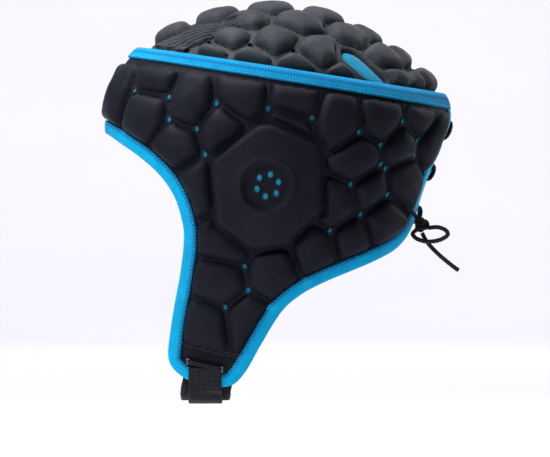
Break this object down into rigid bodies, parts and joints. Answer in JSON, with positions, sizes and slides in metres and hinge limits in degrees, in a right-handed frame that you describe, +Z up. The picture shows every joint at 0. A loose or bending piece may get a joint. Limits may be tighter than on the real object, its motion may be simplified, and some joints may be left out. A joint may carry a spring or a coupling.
{
  "type": "rugby scrum cap",
  "caption": "Soft padded head guard with honeycomb pads, blue bound edges, vented crown, chin strap and a lace that closes the back.",
  "frame": {"origin": "where the inside of the crown rests on the top of the head", "axes": "+Z up, the face looks toward -X, +Y toward the wearer's right"},
  "size_m": [0.2224, 0.1748, 0.2532],
  "materials": {
    "padding": "smooth stretch fabric over foam",
    "crown_padding": "smooth stretch fabric over foam",
    "binding": "ribbed knitted tape",
    "lining": "fine mesh knit",
    "webbing": "woven webbing",
    "chin_pad": "brushed fabric",
    "lace": "braided round cord"
  },
  "bodies": {
    "root": {"side_panel_left": "padding", "side_panel_right": "padding", "crown_panel": "crown_padding", "lining_left": "lining", "lining_right": "lining", "crown_lining": "lining", "top_binding": "binding", "edge_binding": "binding", "chin_strap": "webbing", "chin_pad": "chin_pad", "lace_loop_left_1": "lace", "lace_loop_right_1": "lace", "lace_loop_left_2": "lace", "lace_loop_right_2": "lace", "lace_loop_left_3": "lace", "lace_loop_right_3": "lace", "lace": "lace", "lace_tail": "lace", "lace_knot": "lace", "lace_bow": "lace", "lace_end": "lace"}
  },
  "joints": []
}
